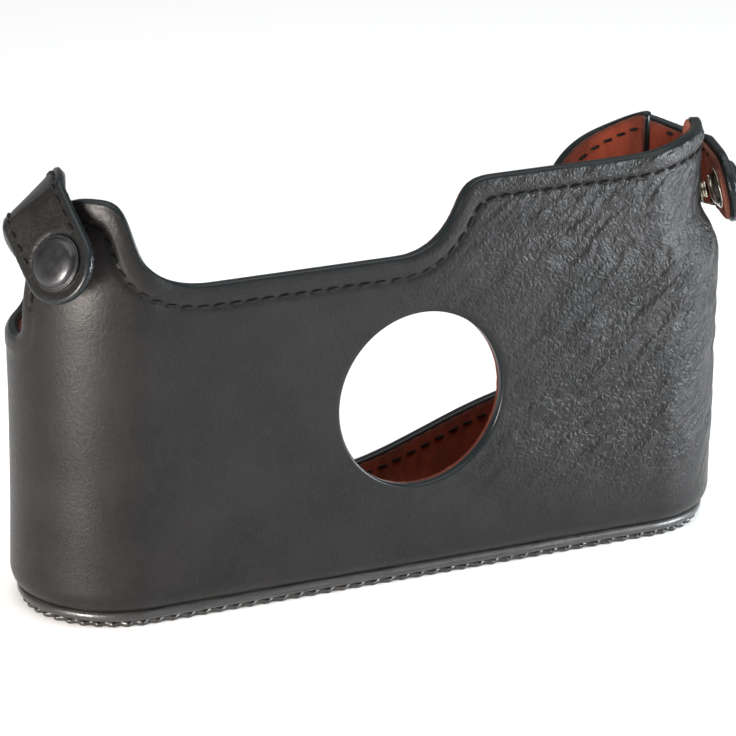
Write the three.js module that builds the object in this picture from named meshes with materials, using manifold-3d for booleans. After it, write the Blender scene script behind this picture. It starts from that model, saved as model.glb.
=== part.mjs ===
// The lower half of a leather ever ready case for a rangefinder camera.
//
// Frame: X runs along the case, -Y is the back wall with the dial window, +Y is the front wall with
// the lens opening, +Z is up. All sizes are in millimetres.
import * as THREE from "three";
import { mergeVertices } from "three/addons/utils/BufferGeometryUtils.js";
import Module from "manifold-3d";

const wasm = await Module();
wasm.setup();

// ---- driving dimensions -------------------------------------------------------------------------

const GAP = 0.3;                 // clearance between pieces that touch
const HALF_LENGTH = 73;          // outer half length of the body at its belly
const HALF_DEPTH = 19.4;         // outer half depth, and the radius of both round ends
const LEATHER = 1.5;             // outer leather
const LINING = 0.8;              // suede lining
const END_STEPS = 14;            // facets round each end

const SOLE_THICK = 1.2;          // leather sole the case rests on
const SOLE_INSET = 2.4;          // sole edge, in from the belly
const WELT_THICK = 1.6;          // welt between sole and wall
const WELT_INSET = 1.7;
const WELT_WIDTH = 4.6;
const WALL_BOTTOM = SOLE_THICK + WELT_THICK + 2 * GAP;
const WALL_TOP = 86;             // blank height before the outlines are cut

const WINDOW = { x: 1.1, z: 37, radius: 17.1 };   // round window over the back dial
const DIP_FLOOR = 65.5;          // eyepiece dip in the back wall
const BACK_RIGHT_TOP = 79;
const BACK_LEFT_TOP = 82.3;
const LENS_FLOOR = 11;           // lowest edge of the lens opening
const LENS_AXIS_X = -4;

const NOTCH_FLOOR = 54;          // lug notches in the two ends
const NOTCH_NEAR = -2.6;
const CORNER_RISE = 80.7;        // the rim at the right end, above the rest of the back wall

const SEAM_INSET = 4.3;          // stitch line, in from the cut edge
const THREAD_RADIUS = 0.28;

const TAB_WIDTH = 14.6;
const CAP_RADIUS = 5.2;
const CAP_HEIGHT = 1.7;
const SHANK_RADIUS = 1.5;
const SOCKET_RADIUS = 4.2;
const SOCKET_BORE = 2.4;
const SOCKET_THICK = 1.1;
const STUD_HEAD_RADIUS = 1.75;
const STUD_PLATE_RADIUS = 3.0;
const HOLE_CLEARANCE = 0.35;     // rivet holes, over the rivet's radius

const COLOURS = {
  leather: { color: 0x363537, roughness: 0.55, metalness: 0 },
  suede: { color: 0x7a2a1c, roughness: 0.95, metalness: 0 },
  welt: { color: 0x26262a, roughness: 0.45, metalness: 0 },
  board: { color: 0x6e5a44, roughness: 0.9, metalness: 0 },
  thread: { color: 0x0c0c0d, roughness: 0.8, metalness: 0 },
  cap: { color: 0x3a3c40, roughness: 0.3, metalness: 0.9 },
  nickel: { color: 0xb9b4a6, roughness: 0.25, metalness: 1 },
};

// ---- solids -------------------------------------------------------------------------------------

const toSolid = (geometry) => {
  const bare = geometry.clone();
  bare.deleteAttribute("normal");
  bare.deleteAttribute("uv");
  const merged = mergeVertices(bare, 1e-4);
  const vertProperties = new Float32Array(merged.attributes.position.array);
  const triVerts = new Uint32Array(merged.index.array);
  return new wasm.Manifold(new wasm.Mesh({ numProp: 3, vertProperties, triVerts }));
};

const toGeometry = (solid) => {
  const mesh = solid.getMesh();
  const geometry = new THREE.BufferGeometry();
  geometry.setAttribute("position", new THREE.BufferAttribute(new Float32Array(mesh.vertProperties), 3));
  geometry.setIndex(new THREE.BufferAttribute(new Uint32Array(mesh.triVerts), 1));
  geometry.computeVertexNormals();
  return geometry;
};

const cut = (geometry, cutters) => {
  let solid = toSolid(geometry);
  for (const cutter of cutters) {
    solid = solid.subtract(toSolid(cutter));
  }
  return toGeometry(solid);
};

// Builds a closed solid from loops of points that all have the same length.
// Loop n is joined to loop n + 1. With closed set the last loop meets the first; otherwise the
// first and last loops are capped with fans about their middles.
const skin = (loops, closed) => {
  const points = [];
  const faces = [];
  const count = loops[0].length;
  const at = (loop, point) => (loop % loops.length) * count + (point % count);
  for (const loop of loops) {
    points.push(...loop);
  }
  const bands = closed ? loops.length : loops.length - 1;
  for (let band = 0; band < bands; band += 1) {
    for (let i = 0; i < count; i += 1) {
      faces.push(at(band, i), at(band, i + 1), at(band + 1, i + 1));
      faces.push(at(band, i), at(band + 1, i + 1), at(band + 1, i));
    }
  }
  if (!closed) {
    [0, loops.length - 1].forEach((loop, side) => {
      const middle = new THREE.Vector3();
      loops[loop].forEach((point) => middle.addScaledVector(point, 1 / count));
      points.push(middle);
      for (let i = 0; i < count; i += 1) {
        const edge = side === 0 ? [at(loop, i + 1), at(loop, i)] : [at(loop, i), at(loop, i + 1)];
        faces.push(points.length - 1, ...edge);
      }
    });
  }
  const geometry = new THREE.BufferGeometry().setFromPoints(points);
  geometry.setIndex(faces);
  geometry.computeVertexNormals();
  return geometry;
};

// ---- body outline -------------------------------------------------------------------------------

// How far the belly has rounded in at a height, and how far each end leans in towards the rim.
const bellyInset = (z) => {
  const round = 3.8;
  const below = THREE.MathUtils.clamp((WALL_BOTTOM + round - z) / round, 0, 1);
  return 2.3 * (1 - Math.sqrt(1 - below * below * 0.98));
};
const leftLean = (z) => 4.2 * THREE.MathUtils.smoothstep(z, 58, 86);
const rightLean = (z) => 4.6 * THREE.MathUtils.smoothstep(z, 55, 66);

// The plan outline at a height, moved in by an inset: two round ends joined by straight sides.
const planOutline = (z, inset, shift = true) => {
  const radius = HALF_DEPTH - inset - (shift ? bellyInset(z) : 0);
  const straight = HALF_LENGTH - HALF_DEPTH;
  const ends = [
    { x: straight - (shift ? rightLean(z) : 0), from: -Math.PI / 2 },
    { x: -straight + (shift ? leftLean(z) : 0), from: Math.PI / 2 },
  ];
  const points = [];
  for (const end of ends) {
    for (let i = 0; i <= END_STEPS; i += 1) {
      const angle = end.from + (Math.PI * i) / END_STEPS;
      points.push(new THREE.Vector3(end.x + radius * Math.cos(angle), radius * Math.sin(angle), z));
    }
  }
  return points;
};

// A point on the outer wall. side is -1 for the back and +1 for the front.
const wallPoint = (x, z, side, proud) => {
  const radius = HALF_DEPTH - bellyInset(z) + proud;
  const right = HALF_LENGTH - HALF_DEPTH - rightLean(z);
  const left = -(HALF_LENGTH - HALF_DEPTH) + leftLean(z);
  const past = Math.max(x - right, left - x, 0);
  return new THREE.Vector3(x, side * Math.sqrt(Math.max(radius * radius - past * past, 0)), z);
};

const plate = (low, high, inset) => skin([
  planOutline(low, inset, false),
  planOutline(high, inset, false),
], false);

const ring = (low, high, inset, width) => skin([
  planOutline(low, inset, false),
  planOutline(high, inset, false),
  planOutline(high, inset + width, false),
  planOutline(low, inset + width, false),
], true);

// The whole wall as a ring that follows the rounded belly and the leaning ends.
const wallBlank = (inset, thickness) => {
  const heights = [
    WALL_BOTTOM, WALL_BOTTOM + 0.5, WALL_BOTTOM + 1.4, WALL_BOTTOM + 2.5, WALL_BOTTOM + 3.8,
    55, 57.5, 60, 62.5, 66, 70, 74, 78, 82, WALL_TOP,
  ];
  const outside = heights.map((z) => planOutline(z, inset));
  const inside = heights.map((z) => planOutline(z, inset + thickness)).reverse();
  return skin([...outside, ...inside], true);
};

// ---- edges of the two walls, drawn in X and Z ---------------------------------------------------

const backEdge = () => {
  const path = new THREE.Path();
  path.moveTo(-90, BACK_LEFT_TOP);
  path.lineTo(-62.3, BACK_LEFT_TOP);
  path.bezierCurveTo(-58.2, BACK_LEFT_TOP, -58.2, 77, -55.6, 71.2);
  path.bezierCurveTo(-52.4, 67.4, -48.5, DIP_FLOOR + 0.3, -43, DIP_FLOOR);
  path.lineTo(-4, DIP_FLOOR);
  path.bezierCurveTo(1.5, DIP_FLOOR, 5, 68.2, 7.3, 72.4);
  path.bezierCurveTo(9, 76, 9.4, BACK_RIGHT_TOP, 15, BACK_RIGHT_TOP);
  path.lineTo(44, BACK_RIGHT_TOP);
  path.bezierCurveTo(51, BACK_RIGHT_TOP, 56, CORNER_RISE, 63, CORNER_RISE);
  path.lineTo(90, CORNER_RISE);
  return path;
};

const frontEdge = () => {
  const half = (side) => (x) => LENS_AXIS_X + side * x;
  const right = half(1);
  const left = half(-1);
  const path = new THREE.Path();
  path.moveTo(-90, 76);
  path.lineTo(left(66), 74.5);
  path.bezierCurveTo(left(56), 71.5, left(51.5), 68, left(50.5), 58);
  path.lineTo(left(49), 31);
  path.bezierCurveTo(left(48), 25, left(46), 22, left(42), 20.9);
  path.bezierCurveTo(left(31), 18.6, left(20), 13, left(10), LENS_FLOOR);
  path.lineTo(right(10), LENS_FLOOR);
  path.bezierCurveTo(right(20), 13, right(31), 18.6, right(42), 20.9);
  path.bezierCurveTo(right(46), 22, right(48), 25, right(49), 31);
  path.lineTo(right(50.5), 58);
  path.bezierCurveTo(right(51.5), 67, right(57), 71, right(62.6), 73.9);
  path.bezierCurveTo(right(66.5), 76, right(68.5), 78, right(73), CORNER_RISE - 1);
  path.lineTo(90, CORNER_RISE - 1);
  return path;
};

// Everything above an edge, on one side of the case.
const aboveEdge = (edge, side) => {
  const points = edge.getPoints(7);
  const shape = new THREE.Shape([...points, new THREE.Vector2(90, 120), new THREE.Vector2(-90, 120)]);
  const geometry = new THREE.ExtrudeGeometry(shape, { depth: 60, bevelEnabled: false });
  geometry.rotateX(Math.PI / 2);
  geometry.translate(0, side < 0 ? 0 : 60, 0);
  return geometry;
};

// The lug notch in one end: straight sided with a round floor, opening out to a soft corner on the
// back wall so that the strap can pass over it.
const notchCutter = (side, far, cornerDepth, cornerHeight, rimHeight) => {
  const shape = new THREE.Shape();
  const floorRadius = 4;
  shape.moveTo(NOTCH_NEAR - cornerDepth, 120);
  shape.lineTo(NOTCH_NEAR - cornerDepth, rimHeight);
  shape.bezierCurveTo(
    NOTCH_NEAR - cornerDepth * 0.4, rimHeight,
    NOTCH_NEAR, rimHeight - cornerHeight * 0.4,
    NOTCH_NEAR, rimHeight - cornerHeight,
  );
  shape.lineTo(NOTCH_NEAR, NOTCH_FLOOR + floorRadius);
  shape.quadraticCurveTo(NOTCH_NEAR, NOTCH_FLOOR, NOTCH_NEAR + floorRadius, NOTCH_FLOOR);
  shape.lineTo(far - floorRadius, NOTCH_FLOOR);
  shape.quadraticCurveTo(far, NOTCH_FLOOR, far, NOTCH_FLOOR + floorRadius);
  shape.lineTo(far, 120);
  const geometry = new THREE.ExtrudeGeometry(shape, {
    depth: 40, bevelEnabled: false, curveSegments: 6,
  });
  geometry.rotateX(Math.PI / 2);
  geometry.rotateZ(Math.PI / 2);
  geometry.translate(side < 0 ? -90 : 50, 0, 0);
  return geometry;
};

const windowCutter = () => {
  const geometry = new THREE.CylinderGeometry(WINDOW.radius, WINDOW.radius, 60, 40);
  geometry.translate(WINDOW.x, -30, WINDOW.z);
  return geometry;
};

// ---- straps, tabs and snaps ---------------------------------------------------------------------

// Each side: the middle of the snap on the tab's outer face, the tab's outward normal, and the way
// from the snap to the crease, all at rest; the turn from rest that snaps the tab shut; and the
// strap's start on the front wall, the angles (radians) at which it climbs and meets the tab, and
// how finely it is divided.
const SIDES = {
  left: {
    side: -1,
    snap: new THREE.Vector3(-71.45, -16.2, 72.5),
    normal: new THREE.Vector3(-0.82, -0.42, 0.39),
    toCrease: new THREE.Vector3(-0.082, 0.761, 0.644),
    length: 12.8,
    snapped: 0,
    notchFar: 16.2,
    rivetDepth: 7,
    strap: { height: 67, depth: 17.6, climb: 0.85, bend: 0.75, relief: 0.12, steps: 20, columns: 3 },
  },
  right: {
    side: 1,
    snap: new THREE.Vector3(73.5, -8.4, 67.2),
    normal: new THREE.Vector3(0.93, -0.3, 0.22),
    toCrease: new THREE.Vector3(0.31, 0.95, 0),
    length: 9.5,
    snapped: -8.2,
    notchFar: 9.4,
    rivetDepth: 5.2,
    strap: { height: 71, depth: 15, climb: -0.1, bend: 0.6, relief: 0.1, steps: 16, columns: 3 },
  },
};

// The tab's own frame: x towards the crease, y across the tab, z out through the cap.
// z = 0 is the middle of the tab's thickness.
const TAB_OUT = 1.3;
const tabFrame = (spec) => {
  const z = spec.normal.clone().normalize();
  const x = spec.toCrease.clone().addScaledVector(z, -spec.toCrease.dot(z)).normalize();
  const y = new THREE.Vector3().crossVectors(z, x);
  const origin = spec.snap.clone().addScaledVector(z, -TAB_OUT);
  return new THREE.Matrix4().makeBasis(x, y, z).setPosition(origin);
};

// The tab's frame once it is snapped shut. It turns about the crease, which runs across the tab on
// its outer face, and a positive turn opens it.
const snappedFrame = (spec) => {
  const turn = new THREE.Matrix4().makeTranslation(spec.length, 0, TAB_OUT);
  turn.multiply(new THREE.Matrix4().makeRotationY(THREE.MathUtils.degToRad(spec.snapped)));
  turn.multiply(new THREE.Matrix4().makeTranslation(-spec.length, 0, -TAB_OUT));
  return tabFrame(spec).multiply(turn);
};

// A tongue with a round end about the snap, between two levels through its thickness.
const tongue = (length, low, high, holeRadius) => {
  const half = TAB_WIDTH / 2;
  const shape = new THREE.Shape();
  shape.moveTo(length - GAP, half);
  shape.lineTo(0, half);
  shape.absarc(0, 0, half, Math.PI / 2, Math.PI * 1.5, false);
  shape.lineTo(length - GAP, -half);
  const hole = new THREE.Path();
  hole.absarc(0, 0, holeRadius, 0, Math.PI * 2, true);
  shape.holes.push(hole);
  const geometry = new THREE.ExtrudeGeometry(shape, {
    depth: high - low, bevelEnabled: false, curveSegments: 10,
  });
  geometry.translate(0, 0, low);
  return geometry;
};

const turned = (profile, segments = 28) => {
  const points = profile.map(([radius, height]) => new THREE.Vector2(radius, height));
  const geometry = new THREE.LatheGeometry(points, segments);
  geometry.rotateX(Math.PI / 2);
  return geometry;
};

const capGeometry = () => {
  const base = TAB_OUT + GAP;
  const rim = 0.7;
  const dome = [];
  for (let i = 0; i <= 4; i += 1) {
    const angle = (Math.PI / 2) * (i / 4);
    dome.push([CAP_RADIUS * Math.cos(angle), base + rim + (CAP_HEIGHT - rim) * Math.sin(angle)]);
  }
  dome[4][0] = 0;
  const shankEnd = -TAB_OUT - 0.1;
  return turned([
    [0, shankEnd],
    [SHANK_RADIUS, shankEnd],
    [SHANK_RADIUS, base],
    [CAP_RADIUS, base],
    ...dome,
  ]);
};

const SOCKET_TOP = -TAB_OUT - GAP;
const SOCKET_FACE = SOCKET_TOP - SOCKET_THICK;
const socketGeometry = () => turned([
  [SOCKET_BORE, SOCKET_TOP],
  [SOCKET_BORE, SOCKET_FACE + 0.3],
  [SOCKET_BORE + 0.3, SOCKET_FACE],
  [SOCKET_RADIUS - 0.7, SOCKET_FACE],
  [SOCKET_RADIUS, SOCKET_FACE + 0.5],
  [SOCKET_RADIUS, SOCKET_TOP],
  [SOCKET_BORE, SOCKET_TOP],
]);

// The stud stands on the wall and points up into the socket.
const PLATE_TOP = SOCKET_FACE - GAP;
const PLATE_BOTTOM = PLATE_TOP - 0.4;
const studGeometry = () => turned([
  [0, PLATE_BOTTOM],
  [STUD_PLATE_RADIUS, PLATE_BOTTOM],
  [STUD_PLATE_RADIUS, PLATE_TOP - 0.1],
  [STUD_PLATE_RADIUS - 0.3, PLATE_TOP],
  [1.3, PLATE_TOP],
  [1.3, PLATE_TOP + 0.4],
  [STUD_HEAD_RADIUS, PLATE_TOP + 0.8],
  [STUD_HEAD_RADIUS - 0.4, PLATE_TOP + 1.25],
  [0, PLATE_TOP + 1.35],
]);

// The rivet that holds the stud: a shank through the wall with a flat head inside the case.
const RIVET_SHANK = 1.1;
const rivetGeometry = (depth) => turned([
  [0, PLATE_BOTTOM - depth],
  [STUD_PLATE_RADIUS - 0.2, PLATE_BOTTOM - depth],
  [STUD_PLATE_RADIUS - 0.2, PLATE_BOTTOM - depth + 0.5],
  [RIVET_SHANK, PLATE_BOTTOM - depth + 0.5],
  [RIVET_SHANK, PLATE_BOTTOM - GAP],
  [0, PLATE_BOTTOM - GAP],
]);

const rivetHole = () => {
  const radius = RIVET_SHANK + HOLE_CLEARANCE;
  const depth = 14;
  const geometry = new THREE.CylinderGeometry(radius, radius, depth, 16);
  geometry.rotateX(Math.PI / 2);
  geometry.translate(0, 0, PLATE_BOTTOM + 3 - depth / 2);
  return geometry;
};

// The strap from the front wall to the crease: a band that twists between its two ends. Levels are
// counted through its thickness as on the tab, and the curve runs along its outer face.
const strapBand = (spec, low, high) => {
  const frame = tabFrame(spec);
  const column = (index) => new THREE.Vector3().setFromMatrixColumn(frame, index);
  const [toStrap, outward] = [column(0), column(2)];
  const across = column(1).multiplyScalar(Math.sign(column(1).z));
  const crease = new THREE.Vector3(spec.length, 0, TAB_OUT).applyMatrix4(frame);

  const { height, depth, climb, bend, relief, steps, columns } = spec.strap;
  const lean = spec.side > 0 ? rightLean(height) : leftLean(height);
  const angle = Math.asin(depth / HALF_DEPTH);
  const footOut = new THREE.Vector3(spec.side * Math.cos(angle), Math.sin(angle), 0);
  const foot = footOut.clone().multiplyScalar(HALF_DEPTH);
  foot.add(new THREE.Vector3(spec.side * (HALF_LENGTH - HALF_DEPTH - lean), 0, height));
  const leave = new THREE.Vector3(spec.side * Math.sin(angle), -Math.cos(angle), Math.tan(climb)).normalize();
  const arrive = toStrap.clone().multiplyScalar(-Math.cos(bend)).addScaledVector(outward, Math.sin(bend));
  const reach = foot.distanceTo(crease) / 3;
  const curve = new THREE.CubicBezierCurve3(
    foot,
    foot.clone().addScaledVector(leave, reach),
    crease.clone().addScaledVector(arrive, -reach),
    crease.clone(),
  );
  const acrossFoot = new THREE.Vector3().crossVectors(leave, footOut);
  acrossFoot.multiplyScalar(Math.sign(acrossFoot.z));
  const creaseOut = outward.clone().multiplyScalar(Math.cos(relief));
  creaseOut.addScaledVector(toStrap, -Math.sin(relief));

  const loops = [];
  for (let i = 0; i <= steps; i += 1) {
    const t = i / steps;
    const point = curve.getPoint(t);
    const wide = acrossFoot.clone().lerp(across, t).normalize();
    const out = new THREE.Vector3().crossVectors(wide, curve.getTangent(t)).multiplyScalar(spec.side);
    out.normalize().lerp(creaseOut, THREE.MathUtils.smoothstep(t, 0.7, 1)).normalize();
    const half = TAB_WIDTH / 2;
    const corner = (width, level) => {
      const place = point.clone().addScaledVector(wide, width);
      return place.addScaledVector(out, level - TAB_OUT);
    };
    const widths = Array.from({ length: columns + 1 }, (_, index) => half * ((2 * index) / columns - 1));
    const under = widths.map((width) => corner(width, low));
    const over = widths.map((width) => corner(width, high)).reverse();
    const loop = [...under, ...over];
    loops.push(spec.side > 0 ? loop.reverse() : loop);
  }
  const beyondNotch = new THREE.BoxGeometry(60, 20, 60);
  beyondNotch.translate(spec.side * HALF_LENGTH, spec.notchFar - GAP + 10, height);
  return cut(skin(loops, false), [beyondNotch]);
};

// ---- threads ------------------------------------------------------------------------------------

const threadAlong = (points, closed, steps) => {
  const section = new THREE.Shape();
  section.absarc(0, 0, THREAD_RADIUS, 0, Math.PI * 2);
  const curve = new THREE.CatmullRomCurve3(points, closed);
  return new THREE.ExtrudeGeometry(section, {
    steps, bevelEnabled: false, extrudePath: curve, curveSegments: 3,
  });
};

// The seam below a wall's edge, from one end of the case to the other.
const seamPoints = (edge, side, from, to, count) => {
  const samples = edge.getSpacedPoints(400).filter((point) => point.x > from && point.x < to);
  const points = [];
  for (let i = 0; i < count; i += 1) {
    const index = Math.min(Math.round((i / (count - 1)) * (samples.length - 2)), samples.length - 2);
    const along = samples[index + 1].clone().sub(samples[index]).normalize();
    const x = samples[index].x + along.y * SEAM_INSET;
    const z = samples[index].y - along.x * SEAM_INSET;
    points.push(wallPoint(x, z, side, GAP + THREAD_RADIUS));
  }
  return points;
};

// ---- assembly -----------------------------------------------------------------------------------

const model = new THREE.Group();

const addPart = (name, geometry, finish) => {
  const mesh = new THREE.Mesh(geometry, new THREE.MeshStandardMaterial(COLOURS[finish]));
  mesh.name = name;
  model.add(mesh);
  return mesh;
};

const place = (geometry, matrix) => geometry.clone().applyMatrix4(matrix);

const wallCutters = () => [
  aboveEdge(backEdge(), -1),
  aboveEdge(frontEdge(), 1),
  notchCutter(-1, SIDES.left.notchFar, 11, 15, BACK_LEFT_TOP),
  notchCutter(1, SIDES.right.notchFar, 3, 4, CORNER_RISE),
  windowCutter(),
  ...Object.values(SIDES).map((spec) => place(rivetHole(), snappedFrame(spec))),
];

addPart("sole_leather", plate(0, SOLE_THICK, SOLE_INSET), "leather");
const weltLow = SOLE_THICK + GAP;
addPart("welt", ring(weltLow, weltLow + WELT_THICK, WELT_INSET, WELT_WIDTH), "welt");
const boardInset = WELT_INSET + WELT_WIDTH + GAP;
addPart("sole_board", plate(weltLow, weltLow + WELT_THICK, boardInset), "board");
addPart("wall_leather", cut(wallBlank(0, LEATHER), wallCutters()), "leather");
addPart("wall_lining", cut(wallBlank(LEATHER + GAP, LINING), wallCutters()), "suede");
const floorInset = 2.3 + LEATHER + LINING + 2 * GAP;
addPart("floor_lining", plate(WALL_BOTTOM, WALL_BOTTOM + LINING, floorInset), "suede");

addPart("back_rim_thread", threadAlong(seamPoints(backEdge(), -1, -60, 66, 40), false, 60), "thread");
addPart("front_rim_thread", threadAlong(seamPoints(frontEdge(), 1, -60, 58, 44), false, 70), "thread");
const soleSeam = planOutline(SOLE_THICK / 2, SOLE_INSET - GAP - THREAD_RADIUS, false);
addPart("sole_thread", threadAlong(soleSeam, true, 64), "thread");

for (const [label, spec] of Object.entries(SIDES)) {
  const frame = tabFrame(spec);
  const split = TAB_OUT - LEATHER;
  addPart(`${label}_strap_leather`, strapBand(spec, split, TAB_OUT), "leather");
  addPart(`${label}_strap_lining`, strapBand(spec, -TAB_OUT, split - GAP), "suede");
  const hole = SHANK_RADIUS + HOLE_CLEARANCE;
  addPart(`${label}_tab_leather`, place(tongue(spec.length, split, TAB_OUT, hole), frame), "leather");
  addPart(`${label}_tab_lining`, place(tongue(spec.length, -TAB_OUT, split - GAP, hole), frame), "suede");
  for (const [edge, sign] of [["upper", 1], ["lower", -1]]) {
    const seamY = sign * (TAB_WIDTH / 2 - 1.7);
    const level = TAB_OUT + GAP + THREAD_RADIUS;
    const seam = [8, 4.5, 1].map((fromCrease) => {
      const point = new THREE.Vector3(spec.length - fromCrease, seamY, level);
      return point.applyMatrix4(frame);
    });
    addPart(`${label}_tab_thread_${edge}`, threadAlong(seam, false, 2), "thread");
  }
  addPart(`${label}_snap_cap`, place(capGeometry(), frame), "cap");
  addPart(`${label}_snap_socket`, place(socketGeometry(), frame), "nickel");
  addPart(`${label}_snap_stud`, place(studGeometry(), snappedFrame(spec)), "nickel");
  addPart(`${label}_stud_rivet`, place(rivetGeometry(spec.rivetDepth), snappedFrame(spec)), "nickel");
}

// The origin is the middle of the whole model's box, on the ground.
const box = new THREE.Box3().setFromObject(model);
const middle = box.getCenter(new THREE.Vector3());
model.position.set(-middle.x, -middle.y, 0);

export default model;
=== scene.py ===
"""Looks of a leather ever ready case: the lined lower half, standing on a pale studio floor.

Leather and suede are cut as flat patterns, in millimetres, and wrapped round the case. A pattern
point is (s, z): s runs round the wall from the middle of the back, and z is the height. On a strap
it is (u, v): u runs along the strap from its crease, and v across it.
"""
import math

import bmesh
import bpy
import numpy as np
from mathutils import Matrix, Vector, kdtree
from mathutils.geometry import delaunay_2d_cdt


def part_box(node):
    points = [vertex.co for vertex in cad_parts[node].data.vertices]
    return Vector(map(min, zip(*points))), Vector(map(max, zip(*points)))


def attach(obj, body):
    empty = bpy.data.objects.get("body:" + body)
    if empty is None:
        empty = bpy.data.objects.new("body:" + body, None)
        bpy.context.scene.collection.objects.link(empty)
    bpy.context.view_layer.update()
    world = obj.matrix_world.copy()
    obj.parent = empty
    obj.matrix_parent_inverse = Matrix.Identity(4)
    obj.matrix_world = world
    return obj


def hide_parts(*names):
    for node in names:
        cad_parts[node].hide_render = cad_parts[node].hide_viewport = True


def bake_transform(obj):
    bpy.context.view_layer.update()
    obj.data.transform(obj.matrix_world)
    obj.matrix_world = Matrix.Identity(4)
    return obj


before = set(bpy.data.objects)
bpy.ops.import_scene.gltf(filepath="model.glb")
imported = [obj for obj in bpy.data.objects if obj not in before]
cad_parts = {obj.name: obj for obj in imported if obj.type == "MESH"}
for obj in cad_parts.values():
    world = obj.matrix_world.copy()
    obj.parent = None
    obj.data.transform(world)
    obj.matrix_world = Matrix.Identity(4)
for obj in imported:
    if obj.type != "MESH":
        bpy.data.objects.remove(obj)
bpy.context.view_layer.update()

MM = 0.001
SOLE_LOW, SOLE_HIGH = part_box("sole_leather")
CENTRE = np.array([(SOLE_LOW.x + SOLE_HIGH.x) / 2, (SOLE_LOW.y + SOLE_HIGH.y) / 2, 0.0]) / MM

# ---- the CAD's driving dimensions, in millimetres, about the middle of the sole ----

HALF_LENGTH = 73.0
HALF_DEPTH = 19.4
STRAIGHT = HALF_LENGTH - HALF_DEPTH      # half the flat part of the back and the front wall
ROUND_END = math.pi * HALF_DEPTH
SEAM_S = 2 * STRAIGHT + ROUND_END        # s at the middle of the front wall
WALL_BOTTOM = 3.4
WALL_THICK = 2.6
LINING_LEVEL = -2.05                     # where the leather ends and the suede begins
DIP_FLOOR = 65.5
BACK_LEFT_TOP = 82.3
BACK_RIGHT_TOP = 79.0
CORNER_RISE = 80.7                       # the rim at the right end, above the rest
LENS_FLOOR = 11.0
LENS_AXIS_X = -4.0
NOTCH_NEAR = -2.6
NOTCH_FLOOR = 54.0
WINDOW = (1.1, 37.0, 17.1)               # middle x and z, and radius

BELLY_RISE = 3.8                         # height over which the foot of the wall rounds in
BELLY_INSET = 2.3
LEFT_LEAN = (4.2, 58, 86)                # how far the end leans in, and between which heights
RIGHT_LEAN = (4.6, 55, 66)

SEAM_INSET = 4.3
NOTCH_SEAM_SHIFT = 1.6                   # how much nearer its edge the seam runs beside a notch
STITCH_PITCH = 3.3
STITCH_LENGTH = 2.3

TAB_HALF = 7.3                           # half the tab's width
TAB_OUT = 1.3                            # half the tab's thickness
TAB_SPLIT = -0.5                         # level where its leather ends and its lining begins
CAP_RADIUS = 5.2
SOCKET_FACE = -2.7
STUD_TOP_GAP = 0.3
STUD_PLATE = 0.4
TAB_SEAM_INSET = 1.7
RIBBON_STEP = 0.25

SIDES = {
    "left": {
        "side": -1, "snap": (-71.45, -16.2, 72.5), "normal": (-0.82, -0.42, 0.39),
        "to_crease": (-0.082, 0.761, 0.644), "length": 12.8, "snapped": 0.0, "rivet_depth": 7.0,
        "height": 67.0, "depth": 17.6, "climb": 0.85, "bend": 0.75, "notch_far": 16.2,
        "corner": (11, 15), "rim": BACK_LEFT_TOP,
    },
    "right": {
        "side": 1, "snap": (73.5, -8.4, 67.2), "normal": (0.93, -0.3, 0.22),
        "to_crease": (0.31, 0.95, 0.0), "length": 9.5, "snapped": -8.2, "rivet_depth": 5.2,
        "height": 71.0, "depth": 15.0, "climb": -0.1, "bend": 0.6, "notch_far": 9.4,
        "corner": (3, 4), "rim": CORNER_RISE,
    },
}

SIDE_NAMES = {-1: "left", 1: "right"}

# ---- small maths ----


def smoothstep(x, low, high):
    t = np.clip((np.asarray(x, float) - low) / (high - low), 0, 1)
    return t * t * (3 - 2 * t)


def noise(x, y, seed):
    """Smooth random hills between -1 and 1, about one unit across."""
    size = 64
    table = np.random.default_rng(seed).uniform(-1, 1, (size, size))
    column, row = np.floor(x).astype(int), np.floor(y).astype(int)
    fx, fy = smoothstep(x - column, 0, 1), smoothstep(y - row, 0, 1)

    def at(i, j):
        return table[(column + i) % size, (row + j) % size]

    low = at(0, 0) * (1 - fx) + at(1, 0) * fx
    high = at(0, 1) * (1 - fx) + at(1, 1) * fx
    return low * (1 - fy) + high * fy


def quarter_drop(share):
    """A quarter round's drop, for a share that runs from 0 on the flat to 1 at the edge."""
    return 1 - np.sqrt(1 - share * share * 0.98)


def unit(vector):
    vector = np.asarray(vector, float)
    return vector / np.linalg.norm(vector, axis=-1, keepdims=True)


def line(*points):
    return np.array(points, float)


def bezier(a, b, c, d, count=24):
    t = np.linspace(0, 1, count)[:, None]
    a, b, c, d = (np.array(p, float) for p in (a, b, c, d))
    return (1 - t) ** 3 * a + 3 * t * (1 - t) ** 2 * b + 3 * t * t * (1 - t) * c + t ** 3 * d


def resample(points, spacing):
    """The same line with evenly spaced points."""
    steps = np.linalg.norm(np.diff(points, axis=0), axis=1)
    points = points[np.concatenate([[True], steps > 1e-6])]
    along = np.concatenate([[0], np.cumsum(np.linalg.norm(np.diff(points, axis=0), axis=1))])
    count = max(2, int(round(along[-1] / spacing)) + 1)
    even = np.linspace(0, along[-1], count)
    return np.stack([np.interp(even, along, points[:, k]) for k in range(points.shape[1])], axis=1)


def soften(points, reach):
    """Rounds the corners of an open line of even points, over so many points, and keeps its ends."""
    width = 3 * reach
    kernel = np.exp(-0.5 * (np.arange(-width, width + 1) / reach) ** 2)
    kernel /= kernel.sum()
    before = 2 * points[0] - points[1:width + 1][::-1]
    after = 2 * points[-1] - points[-width - 1:-1][::-1]
    padded = np.vstack([before, points, after])
    columns = [np.convolve(padded[:, k], kernel, "valid") for k in range(points.shape[1])]
    return np.stack(columns, axis=1)


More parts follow.
